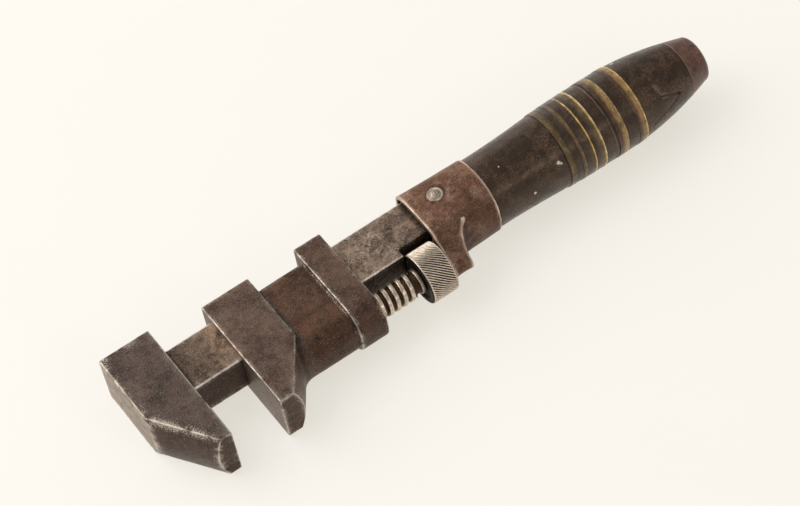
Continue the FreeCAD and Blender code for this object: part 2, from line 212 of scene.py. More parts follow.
class Graph:
    """A short way to write a node material around one Principled shader."""

    def __init__(self, name):
        self.material = bpy.data.materials.new(name)
        self.material.use_nodes = True
        self.nodes = self.material.node_tree.nodes
        self.links = self.material.node_tree.links
        self.shader = self.nodes["Principled BSDF"]
        self.place = self.add("ShaderNodeTexCoord").outputs["Object"]

    def add(self, kind, **settings):
        node = self.nodes.new(kind)
        for key, value in settings.items():
            setattr(node, key, value)
        return node

    def feed(self, socket, value):
        if isinstance(value, bpy.types.NodeSocket):
            self.links.new(value, socket)
        elif isinstance(value, tuple) and len(value) == 3 and socket.type == "RGBA":
            socket.default_value = (*value, 1.0)
        else:
            socket.default_value = value

    def stretched(self, scale):
        """The object's coordinates stretched per axis, for grain that runs one way."""
        node = self.add("ShaderNodeMapping")
        self.feed(node.inputs["Vector"], self.place)
        node.inputs["Scale"].default_value = scale
        return node.outputs["Vector"]

    def noise(self, size, detail=4.0, roughness=0.6, distortion=0.0, vector=None):
        """Noise whose largest features are about `size` metres wide."""
        node = self.add("ShaderNodeTexNoise")
        self.feed(node.inputs["Vector"], vector or self.place)
        node.inputs["Scale"].default_value = 1.0 / size
        node.inputs["Detail"].default_value = detail
        node.inputs["Roughness"].default_value = roughness
        node.inputs["Distortion"].default_value = distortion
        return node.outputs["Fac"]

    def range(self, value, low, high, out_low=0.0, out_high=1.0):
        node = self.add("ShaderNodeMapRange", interpolation_type="SMOOTHSTEP")
        self.feed(node.inputs["Value"], value)
        node.inputs["From Min"].default_value = low
        node.inputs["From Max"].default_value = high
        node.inputs["To Min"].default_value = out_low
        node.inputs["To Max"].default_value = out_high
        return node.outputs["Result"]

    def math(self, operation, first, second=0.0):
        node = self.add("ShaderNodeMath", operation=operation)
        self.feed(node.inputs[0], first)
        self.feed(node.inputs[1], second)
        return node.outputs[0]

    def blend(self, amount, first, second):
        """Mix of two colours."""
        node = self.add("ShaderNodeMix", data_type="RGBA")
        self.feed(node.inputs["Factor"], amount)
        self.feed(node.inputs[MIX_A], first)
        self.feed(node.inputs[MIX_B], second)
        return node.outputs[MIX_RESULT]

    def scaled(self, colour, factor):
        """A colour made lighter or darker by a factor."""
        node = self.add("ShaderNodeVectorMath", operation="SCALE")
        self.feed(node.inputs[0], colour)
        self.feed(node.inputs["Scale"], factor)
        return node.outputs[0]

    def attribute(self, name):
        return self.add("ShaderNodeAttribute", attribute_name=name).outputs["Fac"]

    def from_axis(self, centre):
        """Distance from a line along X through centre (y, z)."""
        offset = self.add("ShaderNodeVectorMath", operation="SUBTRACT")
        self.feed(offset.inputs[0], self.place)
        offset.inputs[1].default_value = (0.0, *centre)
        flat = self.add("ShaderNodeVectorMath", operation="MULTIPLY")
        self.feed(flat.inputs[0], offset.outputs[0])
        flat.inputs[1].default_value = (0.0, 1.0, 1.0)
        length = self.add("ShaderNodeVectorMath", operation="LENGTH")
        self.feed(length.inputs[0], flat.outputs[0])
        return length.outputs["Value"]

    def axis(self, name):
        node = self.add("ShaderNodeSeparateXYZ")
        self.feed(node.inputs[0], self.place)
        return node.outputs[name]

    def bump(self, height, distance, below=None):
        node = self.add("ShaderNodeBump")
        self.feed(node.inputs["Height"], height)
        node.inputs["Distance"].default_value = distance
        node.inputs["Strength"].default_value = 1.0
        if below is not None:
            self.feed(node.inputs["Normal"], below)
        return node.outputs["Normal"]

    def set(self, **sockets):
        for name, value in sockets.items():
            self.feed(self.shader.inputs[name.replace("_", " ").title().replace("Ior", "IOR")], value)
        return self.material


def steel_tone(g, grain_size):
    """Mottling from 0 to 1: broad clouds, and a fine grain like worn emery."""
    broad = g.noise(10 * MM, 5, 0.62)
    middle = g.noise(2.2 * MM, 5, 0.7)
    grain = g.noise(grain_size, 3, 0.7)
    tone = g.math("ADD", g.math("MULTIPLY", broad, 0.34), g.math("MULTIPLY", middle, 0.28))
    return g.math("ADD", tone, g.math("MULTIPLY", grain, 0.38)), grain


def edge_wear(g, line_width, band, spread, unbroken):
    """Bright metal along outward edges: a thin line, and a band of specks fading away from it.

    spread scales the specks; unbroken is how much of the line is left where it is least rubbed.
    """
    ridge = g.attribute("ridge_distance")
    rub = g.noise(6 * MM, 4, 0.6)
    ragged = g.math("ADD", ridge, g.math("MULTIPLY", g.noise(0.8 * MM, 4, 0.7), 0.55 * MM))
    kept = g.math("MAXIMUM", g.range(rub, 0.36, 0.56), unbroken)
    line = g.math("MULTIPLY", g.range(ragged, line_width * 0.5, line_width, 1.0, 0.0), kept)
    near = g.math("MULTIPLY", g.range(ridge, 0.0, band, 0.22, 0.0), g.range(rub, 0.38, 0.56, 0.30, 1.0))
    specks = g.range(g.math("ADD", g.noise(0.42 * MM, 3, 0.75), near), 0.66, 0.76)
    specks = g.math("MULTIPLY", specks, g.range(ridge, 0.0, band * 1.6, 0.75, 0.0))
    return g.math("MAXIMUM", line, g.math("MULTIPLY", specks, spread))


def finished_steel(g, colour, tone, grain, bright, wear, near_shade, relief=None):
    """Bright specks, dirt and painted shade in corners, painted brown shade on the near side, edge wear and
    relief.

    wear holds edge_wear's line width, band, spread and unbroken.
    """
    # painted shade: the side facing -Y is browned and darkened
    colour = g.blend(g.math("MULTIPLY", g.attribute("near_side"), near_shade), colour, NEAR_SIDE_SHADE)
    specks = g.range(g.noise(0.40 * MM, 2, 0.6), 0.62, 0.72, 0.0, 0.46)
    colour = g.blend(specks, colour, bright)
    pits = g.range(g.noise(0.55 * MM, 2, 0.6), 0.24, 0.36, 0.65, 0.0)
    colour = g.blend(pits, colour, DIRT_AND_SHADE)
    # inner corners darkened: dirt, and painted shade where the corners are shaded
    grime = g.range(g.attribute("hollow_distance"), 0.3 * MM, 2.4 * MM, 0.62, 0.0)
    colour = g.blend(grime, colour, DIRT_AND_SHADE)
    worn = edge_wear(g, *wear)
    colour = g.blend(worn, colour, bright)
    rough = g.math("SUBTRACT", g.range(tone, 0.35, 0.65, 0.52, 0.38), g.math("MULTIPLY", worn, 0.12))
    relief = g.bump(g.noise(2.8 * MM, 5, 0.65), 0.13 * MM, below=relief)
    relief = g.bump(grain, 0.07 * MM, below=relief)
    return g.set(base_color=colour, metallic=0.80, roughness=rough, normal=relief)


def near_spot(g, centre, inner, outer):
    """1 within `inner` of a point, fading to 0 at `outer`, with a ragged edge."""
    node = g.add("ShaderNodeVectorMath", operation="DISTANCE")
    g.feed(node.inputs[0], g.place)
    node.inputs[1].default_value = centre
    ragged = g.math("MULTIPLY", g.math("SUBTRACT", g.noise(0.9 * MM, 4, 0.7), 0.5), outer - inner)
    return g.range(g.math("ADD", node.outputs["Value"], ragged), inner, outer, 1.0, 0.0)


def sliding_jaw_steel(name):
    """Dark grey-brown jaw block and collar; rust-brown sleeve, reddest on its near side."""
    g = Graph(name)
    low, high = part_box("sliding_jaw")
    tone, grain = steel_tone(g, 0.48 * MM)
    x, y = g.axis("X"), g.axis("Y")
    behind = g.range(x, low.x + JAW_BLOCK_LENGTH - 0.5 * MM, low.x + JAW_BLOCK_LENGTH + 2.5 * MM)
    on_collar = g.range(x, high.x - COLLAR_LENGTH - 0.4 * MM, high.x - COLLAR_LENGTH + 0.4 * MM)
    behind = g.math("MULTIPLY", behind, g.math("SUBTRACT", 1.0, g.math("MULTIPLY", on_collar, 0.55)))
    dark = g.blend(behind, (0.060, 0.039, 0.030), (0.034, 0.018, 0.012))
    light = g.blend(behind, (0.204, 0.134, 0.101), (0.155, 0.086, 0.057))
    colour = g.blend(g.range(tone, 0.39, 0.61), dark, light)
    side = g.range(y, low.y + 12 * MM, low.y + 34 * MM, 1.0, 0.35)
    rust = g.range(g.noise(7 * MM, 7, 0.72, 0.8), 0.46, 0.64)
    share = g.math("ADD", g.math("MULTIPLY", behind, 0.55), 0.12)
    rust = g.math("MULTIPLY", g.math("MULTIPLY", rust, side), share)
    colour = g.blend(rust, colour, (0.150, 0.064, 0.034))
    grip = g.range(x, low.x + 0.25 * MM, low.x + 0.7 * MM, 0.55, 0.0)
    colour = g.blend(g.math("MULTIPLY", grip, g.range(grain, 0.35, 0.6)), colour, (0.30, 0.24, 0.19))
    return finished_steel(g, colour, tone, grain, BARE, (0.62 * MM, 2.8 * MM, 0.7, 0.45), 0.68)


def ferrule_patina(name):
    """Red-brown patina, rubbed tan where hands touch it, with a dark halo round the rivet."""
    g = Graph(name)
    tone, grain = steel_tone(g, 0.45 * MM)
    colour = g.blend(g.range(tone, 0.40, 0.60), (0.066, 0.029, 0.019), (0.320, 0.172, 0.112))
    rust = g.range(g.noise(6 * MM, 7, 0.72, 0.8), 0.44, 0.62)
    colour = g.blend(g.math("MULTIPLY", rust, 0.7), colour, (0.165, 0.070, 0.040))
    rubbed = g.math("MULTIPLY", g.range(g.noise(5 * MM, 5, 0.7, 0.5), 0.50, 0.66), g.range(grain, 0.36, 0.60))
    colour = g.blend(g.math("MULTIPLY", rubbed, 0.75), colour, (0.44, 0.30, 0.22))
    low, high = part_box("ferrule_rivet")
    head = ((low.x + high.x) / 2, (low.y + high.y) / 2, high.z - 1.2 * MM)
    colour = g.blend(g.math("MULTIPLY", near_spot(g, head, 2.8 * MM, 4.8 * MM), 0.75), colour, DIRT_AND_SHADE)
    return finished_steel(g, colour, tone, grain, RUBBED_PATINA, (1.45 * MM, 3.2 * MM, 0.8, 0.6), 0.60)


def bar_steel(name):
    """Head and bar: grey-brown head, lighter bar, pale corrosion tracks behind the collar."""
    g = Graph(name)
    tone, grain = steel_tone(g, 0.48 * MM)
    drawn = g.noise(0.5 * MM, 4, 0.6, vector=g.stretched((0.12, 1.0, 1.0)))
    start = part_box("bar_with_fixed_jaw")[0].x
    x = g.axis("X")
    on_bar = g.range(x, start + HEAD_LENGTH - 0.4 * MM, start + HEAD_LENGTH + 0.4 * MM)
    dark = g.blend(on_bar, (0.050, 0.036, 0.030), (0.060, 0.038, 0.027))
    light = g.blend(on_bar, (0.143, 0.101, 0.083), (0.282, 0.197, 0.146))
    colour = g.blend(g.range(g.math("ADD", tone, g.math("MULTIPLY", drawn, 0.12)), 0.45, 0.66), dark, light)
    jaw_low, jaw_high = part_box("sliding_jaw")
    collar_x = jaw_high.x
    gap_end = g.range(x, start + HEAD_LENGTH + 4 * MM, jaw_low.x)
    behind = g.range(x, collar_x, collar_x + 1 * MM)
    scraped = g.math("MULTIPLY", g.range(g.noise(5 * MM, 6, 0.72, 0.5), 0.46, 0.62), gap_end)
    rubbed = g.blend(behind, (0.50, 0.315, 0.185), (0.46, 0.345, 0.265))
    colour = g.blend(g.math("MULTIPLY", scraped, 0.5), colour, rubbed)
    shaded = g.math("MULTIPLY", on_bar, g.math("SUBTRACT", 1.0, gap_end))
    colour = g.scaled(colour, g.range(shaded, 0.0, 1.0, 1.0, 0.62))
    stain = g.math("MULTIPLY", g.range(g.noise(2.6 * MM, 7, 0.75, 0.8), 0.53, 0.66), on_bar)
    colour = g.blend(g.math("MULTIPLY", stain, 0.65), colour, (0.060, 0.034, 0.022))
    tracks = g.noise(3.4 * MM, 4, 0.55, 1.6)
    off_centre = g.math("ABSOLUTE", g.math("SUBTRACT", tracks, 0.5))
    ridge = g.math("SUBTRACT", 1.0, g.math("MULTIPLY", off_centre, 26.0))
    zone = g.math("MULTIPLY", g.range(x, collar_x - 1 * MM, collar_x + 3 * MM),
                  g.range(x, collar_x + 15 * MM, collar_x + 20 * MM, 1.0, 0.0))
    zone = g.math("MULTIPLY", zone, g.range(g.noise(6 * MM, 2), 0.40, 0.54))
    ridge = g.math("MULTIPLY", g.range(ridge, 0.0, 0.8), zone)
    colour = g.blend(g.math("MULTIPLY", ridge, 0.75), colour, (0.56, 0.45, 0.35))
    strike = g.range(x, start + 0.5 * MM, start + 1.1 * MM, 1.0, 0.0)
    strike = g.math("MULTIPLY", strike, g.range(g.noise(3 * MM, 5, 0.7), 0.35, 0.6, 0.45, 0.95))
    colour = g.blend(strike, colour, (0.36, 0.285, 0.225))
    unlit = g.math("MULTIPLY", g.attribute("near_side"), on_bar)
    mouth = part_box("ferrule")[0].x
    unlit = g.math("MAXIMUM", unlit, g.range(x, mouth - 2.4 * MM, mouth - 0.6 * MM))
    colour = g.scaled(colour, g.range(unlit, 0.0, 1.0, 1.0, 0.36))
    relief = g.bump(drawn, 0.02 * MM)
    relief = g.bump(ridge, 0.10 * MM, below=relief)
    spread = g.range(x, start + 11 * MM, start + 18 * MM, 1.6, 0.35)
    unbroken = g.range(x, start + HEAD_LENGTH, start + HEAD_LENGTH + 2 * MM, 0.15, 0.70)
    bright = g.blend(on_bar, BARE, POLISHED)
    wear = (0.75 * MM, 4.6 * MM, spread, unbroken)
    return finished_steel(g, colour, tone, grain, bright, wear, 0.80, relief)


def grooved_steel(name, node, low_r, high_r, groove, crest, streak):
    """Machined steel turned about X: grooves below low_r dark with oil and with painted shade, rubbed bright
    above high_r.

    streak is how dark the turning marks are: 1 leaves none.
    """
    g = Graph(name)
    low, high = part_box(node)
    radius = g.from_axis(((low.y + high.y) / 2, (low.z + high.z) / 2))
    grain = g.noise(0.45 * MM, 4, 0.7)
    patch = g.noise(2.5 * MM, 4, 0.6)
    lifted = g.math("ADD", radius, g.math("MULTIPLY", g.math("SUBTRACT", patch, 0.5), 0.25 * MM))
    rubbed = g.range(lifted, low_r, high_r)
    # grooves take the dark colour: oil, and painted shade in the recess
    colour = g.blend(rubbed, groove, crest)
    turned = g.noise(0.9 * MM, 3, 0.7, vector=g.stretched((3.0, 0.25, 0.25)))
    colour = g.scaled(colour, g.range(turned, 0.36, 0.64, streak, 2.0 - streak))
    colour = g.scaled(colour, g.range(grain, 0.30, 0.70, 0.62, 1.30))
    rough = g.range(rubbed, 0.0, 1.0, 0.62, 0.36)
    relief = g.bump(grain, 0.03 * MM)
    return g.set(base_color=colour, metallic=0.85, roughness=rough, normal=relief)


def domed_steel(name):
    """Lightly hammered steel: the rivet, and the washer and nut inside the grip's end."""
    g = Graph(name)
    grain = g.noise(0.5 * MM, 5, 0.7)
    colour = g.blend(g.range(grain, 0.35, 0.65), (0.17, 0.125, 0.095), (0.56, 0.47, 0.39))
    relief = g.bump(g.noise(0.9 * MM, 4, 0.6), 0.06 * MM)
    return g.set(base_color=colour, metallic=0.85, roughness=0.42, normal=relief)


def horn(name, box, front, rear, dust, change=(0.0, 1.0), seam=False, spots=()):
    """Polished horn whose colour shifts along X from `front` to `rear` between two fractions."""
    g = Graph(name)
    start, length = box[0].x, box[1].x - box[0].x
    x = g.axis("X")
    wander = g.math("MULTIPLY", g.math("SUBTRACT", g.noise(6 * MM, 3, 0.5), 0.5), 0.5 * MM)
    along = g.range(g.math("ADD", x, wander), start + change[0] * length, start + change[1] * length)
    colour = g.blend(along, front, rear)
    turned = g.noise(0.9 * MM, 5, 0.7, vector=g.stretched((3.0, 0.5, 0.5)))
    cloud = g.noise(4 * MM, 6, 0.7)
    tone = g.math("ADD", g.math("MULTIPLY", turned, 0.45), g.math("MULTIPLY", cloud, 0.55))
    colour = g.scaled(colour, g.range(tone, 0.36, 0.64, 0.40, 1.60))
    speck = g.range(g.noise(0.42 * MM, 4, 0.75), 0.50, 0.68)
    patch = g.range(g.noise(8 * MM, 5, 0.65), 0.44, 0.62)
    grime = g.math("MULTIPLY", g.math("MULTIPLY", speck, patch), dust)
    colour = g.blend(grime, colour, (0.300, 0.165, 0.092))
    sunk = g.attribute("sunk")
    colour = g.blend(g.range(sunk, 0.16 * MM, 0.30 * MM, 0.0, 0.60), colour, (0.135, 0.096, 0.072))
    # cracks and the pit go near-black: dirt, and painted shade in the recess
    colour = g.blend(g.range(sunk, 0.36 * MM, 0.56 * MM, 0.0, 0.92), colour, DIRT_AND_SHADE)
    if seam:
        colour = g.blend(g.range(x, start + 0.12 * MM, start + 0.42 * MM, 0.9, 0.0), colour, DIRT_AND_SHADE)
    for centre, radius in spots:
        colour = g.blend(near_spot(g, centre, radius * 0.6, radius), colour, (0.62, 0.57, 0.50))
    rough = g.math("ADD", HORN_ROUGHNESS, g.range(g.noise(3 * MM, 6, 0.7), 0.35, 0.7, 0.0, 0.22))
    rough = g.math("ADD", rough, g.math("MULTIPLY", grime, 0.35))
    relief = g.bump(g.noise(2.0 * MM, 5, 0.65), 0.08 * MM)
    relief = g.bump(turned, 0.03 * MM, below=relief)
    relief = g.bump(speck, 0.02 * MM, below=relief)
    return g.set(base_color=colour, roughness=rough, normal=relief, specular_ior_level=0.5,
                 specular_tint=HORN_GLINT)


def cap_fibre(name):
    """Pressed red-brown fibre, rubbed paler on its rim."""
    g = Graph(name)
    cloud = g.noise(3.5 * MM, 6, 0.7)
    fine = g.noise(0.6 * MM, 4, 0.7, vector=g.stretched((2.0, 0.6, 0.6)))
    tone = g.math("ADD", g.math("MULTIPLY", cloud, 0.6), g.math("MULTIPLY", fine, 0.4))
    colour = g.blend(g.range(tone, 0.38, 0.62), (0.044, 0.018, 0.012), (0.175, 0.080, 0.052))
    low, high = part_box("end_cap")
    x = g.axis("X")
    rim = g.math("MULTIPLY", g.range(x, high.x - 2.6 * MM, high.x - 0.8 * MM), g.range(fine, 0.35, 0.6))
    colour = g.blend(g.math("MULTIPLY", rim, 0.35), colour, (0.26, 0.17, 0.13))
    front = g.range(x, low.x + 0.1 * MM, low.x + 0.4 * MM, 0.8, 0.0)
    colour = g.blend(front, colour, (0.32, 0.18, 0.13))
    relief = g.bump(g.noise(2.0 * MM, 5, 0.65), 0.08 * MM)
    relief = g.bump(fine, 0.03 * MM, below=relief)
    return g.set(base_color=colour, roughness=g.range(cloud, 0.3, 0.7, 0.26, 0.46), normal=relief)


# ============================== metal pieces =================================================
def is_corner(edge, fillets):
    """True on a sharp edge, or along a fillet too tight to be part of a round piece."""
    if len(edge.link_faces) != 2:
        return False
    turn = edge.calc_face_angle()
    width = sum(face.calc_area() for face in edge.link_faces) / max(edge.calc_length(), 0.001 * MM)
    return turn > SHARP_ANGLE or (fillets and turn > FILLET_ANGLE and turn * FILLET_R > width)


def corner_points(mesh, fillets):
    """Points along the sharp outward edges of a mesh, and along its sharp inward ones."""
    shell = bmesh.new()
    shell.from_mesh(mesh)
    bmesh.ops.remove_doubles(shell, verts=shell.verts, dist=0.001 * MM)
    outward, inward = [], []
    for edge in shell.edges:
        if not is_corner(edge, fillets):
            continue
        start, end = (vert.co for vert in edge.verts)
        steps = max(1, math.ceil((end - start).length / CORNER_STEP))
        spots = [start.lerp(end, step / steps) for step in range(steps + 1)]
        (outward if edge.is_convex else inward).extend(spots)
    shell.free()
    return outward, inward


def mark_corners(mesh, node, fillets):
    """Store on each vertex how far it is from the CAD node's outward and inward edges."""
    places = corner_points(frame["nodes"][node].data, fillets)
    for name, spots in zip(("ridge_distance", "hollow_distance"), places):
        tree = KDTree(len(spots))
        for index, spot in enumerate(spots):
            tree.insert(spot, index)
        tree.balance()
        reach = [tree.find(vertex.co)[2] for vertex in mesh.vertices] if spots else [1.0] * len(mesh.vertices)
        mesh.attributes.new(name, "FLOAT", "POINT").data.foreach_set("value", reach)
    # how far each vertex faces -Y: the materials paint shade there
    near_side = smoothstep(0.25, 0.75, -vertex_normals(mesh)[:, 1])
    mesh.attributes.new("near_side", "FLOAT", "POINT").data.foreach_set("value", near_side)


def dense_mesh(node, voxel, relax, fillets=False):
    """The CAD node's surface as an even, closed mesh with slightly softened edges."""
    source = bpy.data.objects.new("dense_source", frame["nodes"][node].data.copy())
    bpy.context.scene.collection.objects.link(source)
    remesh = source.modifiers.new("even", "REMESH")
    remesh.mode = "VOXEL"
    remesh.voxel_size = voxel
    soft = source.modifiers.new("soft", "SMOOTH")
    soft.factor = 0.5
    soft.iterations = relax
    graph = bpy.context.evaluated_depsgraph_get()
    mesh = bpy.data.meshes.new_from_object(source.evaluated_get(graph))
    bpy.data.objects.remove(source)
    mark_corners(mesh, node, fillets)
    return mesh


def stored(mesh, name):
    """Values of one of the mesh's own vertex attributes."""
    values = np.empty(len(mesh.vertices))
    mesh.attributes[name].data.foreach_get("value", values)
    return values


def relaxed(mesh, weight, rounds):
    """Pull each vertex towards its neighbours' mean: fully where weight is 1, not at all where it is 0."""
    ends = np.empty(len(mesh.edges) * 2, dtype=np.int32)
    mesh.edges.foreach_get("vertices", ends)
    first, second = ends.reshape(-1, 2).T
    points = vertex_array(mesh)
    size = len(points)
    neighbours = np.bincount(ends, minlength=size)
    for _ in range(rounds):
        for axis in range(3):
            value = points[:, axis]
            total = np.bincount(first, value[second], size) + np.bincount(second, value[first], size)
            points[:, axis] = value + 0.6 * weight * (total / neighbours - value)
    set_vertices(mesh, points)


def hammered(mesh, depth, size, seed):
    """Push the surface in by shallow, uneven forging marks; nothing moves outwards."""
    points = vertex_array(mesh)
    lumps = layered_noise(points, size, seed)
    inward = depth * (0.5 - 0.5 * np.clip(lumps * 1.6, -1, 1))
    set_vertices(mesh, points - vertex_normals(mesh) * inward[:, None])


def dented_striking_face(mesh):
    """The rim of the head's striking face is battered: small dents along its edges."""
    points = vertex_array(mesh)
    low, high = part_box("bar_with_fixed_jaw")
    depth_in = points[:, 0] - low.x
    dents = layered_noise(points, 2.6 * MM, 31)
    bite = 0.45 * MM * smoothstep(0.15, 0.75, dents) * smoothstep(3.0 * MM, 0.0, depth_in)
    set_vertices(mesh, points - vertex_normals(mesh) * bite[:, None])


def pitted_bar(mesh):
    """Shallow corrosion pits on the bar behind the collar."""
    points = vertex_array(mesh)
    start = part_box("sliding_jaw")[1].x
    zone = smoothstep(start - 2 * MM, start + 3 * MM, points[:, 0])
    zone *= smoothstep(start + 22 * MM, start + 14 * MM, points[:, 0])
    pits = smoothstep(0.25, 0.6, layered_noise(points, 2.2 * MM, 77, 2))
    set_vertices(mesh, points - vertex_normals(mesh) * (0.14 * MM * zone * pits)[:, None])


def metal_pieces():
    forging = dense_mesh("bar_with_fixed_jaw", FORGING_VOXEL, 2, fillets=True)
    hammered(forging, FORGING_MARK_DEPTH, FORGING_MARK_SIZE, 5)
    dented_striking_face(forging)
    pitted_bar(forging)
    new_piece("bar_forging", forging, "bar_with_fixed_jaw", bar_steel("bar_steel"))

    jaw = dense_mesh("sliding_jaw", FORGING_VOXEL, 2, fillets=True)
    clear = smoothstep(0.8 * MM, 2.0 * MM, stored(jaw, "ridge_distance"))
    block_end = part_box("sliding_jaw")[0].x + JAW_BLOCK_LENGTH
    inside_corner = smoothstep(5.5 * MM, 1.5 * MM, stored(jaw, "hollow_distance"))
    ahead = smoothstep(block_end + 9 * MM, block_end + 5 * MM, vertex_array(jaw)[:, 0])
    relaxed(jaw, clear * inside_corner * ahead, 110)
    hammered(jaw, FORGING_MARK_DEPTH, FORGING_MARK_SIZE, 9)
    new_piece("sliding_jaw_forging", jaw, "sliding_jaw", sliding_jaw_steel("sliding_jaw_steel"))

    shell = dense_mesh("ferrule", FERRULE_VOXEL, 3)
    relaxed(shell, smoothstep(0.7 * MM, 2.0 * MM, stored(shell, "ridge_distance")), 60)
    hammered(shell, 0.08 * MM, 6 * MM, 13)
    new_piece("ferrule_shell", shell, "ferrule", ferrule_patina("ferrule_patina"))

    screw = dense_mesh("adjusting_screw", SCREW_VOXEL, 1)
    screw_skin = grooved_steel("screw_steel", "adjusting_screw", 4.3 * MM, 5.2 * MM,
                               (0.074, 0.040, 0.024), (0.62, 0.51, 0.405), 0.6)
    new_piece("screw_thread", screw, "adjusting_screw", screw_skin)

    rivet = dense_mesh("ferrule_rivet", RIVET_VOXEL, 3)
    new_piece("rivet_domes", rivet, "ferrule_rivet", domed_steel("rivet_steel"))

    for node in ("butt_washer", "tang_nut"):
        hidden = dense_mesh(node, SCREW_VOXEL, 1)
        new_piece(node + "_worn", hidden, node, domed_steel(node + "_steel"))


# ============================== turned pieces ================================================
def ring_mesh(name, profile, centre, segments, shape):
    """A closed ring turned about X.

    profile is (x, radius) around the section.  shape takes grids of x, radius and angle and returns
    the moved x and radius, and how far each point was sunk.
    """
    rows = len(profile)
    angle = np.arange(segments) * 2 * math.pi / segments
    xs, radii = np.array(profile).T
    grid_x = np.repeat(xs[:, None], segments, 1)
    grid_r = np.repeat(radii[:, None], segments, 1)
    grid_a = np.repeat(angle[None, :], rows, 0)
    grid_x, grid_r, sunk = shape(grid_x, grid_r, grid_a)
    points = np.stack([grid_x, centre[0] + grid_r * np.cos(grid_a), centre[1] + grid_r * np.sin(grid_a)], -1)
    index = np.arange(rows * segments).reshape(rows, segments)
    below, right = np.roll(index, -1, 0), np.roll(index, -1, 1)
    corner = np.roll(below, -1, 1)
    faces = np.stack([index, right, corner, below], -1).reshape(-1, 4)
    mesh = bpy.data.meshes.new(name)
    mesh.from_pydata(points.reshape(-1, 3).tolist(), [], faces.tolist())
    mesh.update()
    return mesh, sunk


def cad_outline(node):
    """Outer radius of a turned CAD node at each of its x stations, and its axis (y, z)."""
    points = vertex_array(frame["nodes"][node].data)
    low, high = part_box(node)
    centre = ((low.y + high.y) / 2, (low.z + high.z) / 2)
    radius = np.hypot(points[:, 1] - centre[0], points[:, 2] - centre[1])
    stations = np.unique(np.round(points[:, 0], 6))
    outer = np.array([radius[np.abs(points[:, 0] - x) < 2e-6].max() for x in stations])
    return stations, outer, radius.min(), centre


def handle_ring(node, material, seed, lump=DISC_LUMP, extra=None):
    """One disc or barrel of the grip, a little out of round, with small chips on its edges."""
    stations, outer, bore, centre = cad_outline(node)
    x0, x1 = stations[0], stations[-1]
    length = x1 - x0
    rounding = min(0.16 * MM, length / 4)
    inner_rows = max(2, round((length - 2 * rounding) / RING_ROW))
    xs = [x0, x0 + rounding * 0.3] + list(np.linspace(x0 + rounding, x1 - rounding, inner_rows))
    xs += [x1 - rounding * 0.3, x1]
    skin = np.interp(xs, stations, outer)
    face_radii = np.linspace(bore, skin.min() - 1.0 * MM, 4)
    profile = [(x0, r) for r in face_radii] + list(zip(xs, skin)) + [(x1, r) for r in face_radii[::-1]]

    def shape(gx, gr, ga):
        flat = np.stack([gx, gr * np.cos(ga), gr * np.sin(ga)], -1).reshape(-1, 3)
        on_skin = gr > skin.min() - 0.5 * MM
        lumps = layered_noise(flat, 9 * MM, seed, 3).reshape(gr.shape)
        near_edge = smoothstep(0.5 * MM, 0.0, np.minimum(gx - x0, x1 - gx))
        bites = smoothstep(0.35, 0.8, layered_noise(flat, 1.5 * MM, seed + 40, 2).reshape(gr.shape))
        sunk = lump * (0.5 - 0.5 * np.clip(lumps * 1.5, -1, 1)) + CHIP_DEPTH * near_edge * bites
        if extra is not None:
            sunk = sunk + extra(gx, ga)
        sunk = sunk * on_skin
        return gx, gr - sunk, sunk

    mesh, sunk = ring_mesh(node, profile, centre, RING_SEGMENTS, shape)
    mesh.attributes.new("sunk", "FLOAT", "POINT").data.foreach_set("value", sunk.reshape(-1))
    new_piece(node + "_turned", mesh, node, material)


def distance_to_path(gx, arc, path):
    """Distance of each surface point to a path of (x, arc) corners."""
    best = np.full(gx.shape, 1.0)
    for (ax, aa), (bx, ba) in zip(path, path[1:]):
        dx, da = bx - ax, ba - aa
        t = np.clip(((gx - ax) * dx + (arc - aa) * da) / (dx * dx + da * da), 0, 1)
        best = np.minimum(best, np.hypot(gx - ax - t * dx, arc - aa - t * da))
    return best


def barrel_gouge(gx, angle):
    """The broken flake on the rear barrel: a step, a shallow scoop, a pit and a curved crack."""
    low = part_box("rear_barrel")[0].x
    arc = angle * GOUGE_R
    along = (gx - low) / MM
    degrees = np.degrees(angle)
    step = smoothstep(-0.2, 0.2, along - 7.4 - (degrees - 124) * 0.08)
    inside = step * smoothstep(122, 126, degrees) * smoothstep(166, 160, degrees + (along - 17) * 0.5)
    lip = [(low + x * MM, math.radians(turn) * GOUGE_R) for x, turn in FLAKE_LIP]
    lip_distance = distance_to_path(gx, arc, lip)
    inside = inside * smoothstep(2.6 * MM, 0.9 * MM, lip_distance)
    scoop = SCOOP_DEPTH * inside * smoothstep(18.5, 7.5, along)
    path = [(low + x * MM, math.radians(turn) * GOUGE_R) for x, turn in CRACK_PATH]
    crack = CRACK_DEPTH * smoothstep(0.50 * MM, 0.10 * MM, distance_to_path(gx, arc, path))
    step_crack = LIP_DEPTH * smoothstep(0.52 * MM, 0.12 * MM, lip_distance)
    pit = PIT_DEPTH * smoothstep(1.0 * MM, 0.3 * MM, np.hypot(gx - path[0][0], (arc - path[0][1]) * 0.8))
    return np.maximum.reduce([scoop + crack, step_crack, pit])


def on_grip(node, behind, degrees):
    """A point on a ring's skin, from its distance behind the ring's front and its angle from +Y."""
    stations, outer, _, centre = cad_outline(node)
    x = stations[0] + behind
    radius = np.interp(x, stations, outer)
    turn = math.radians(degrees)
    return (x, centre[0] + radius * math.cos(turn), centre[1] + radius * math.sin(turn))


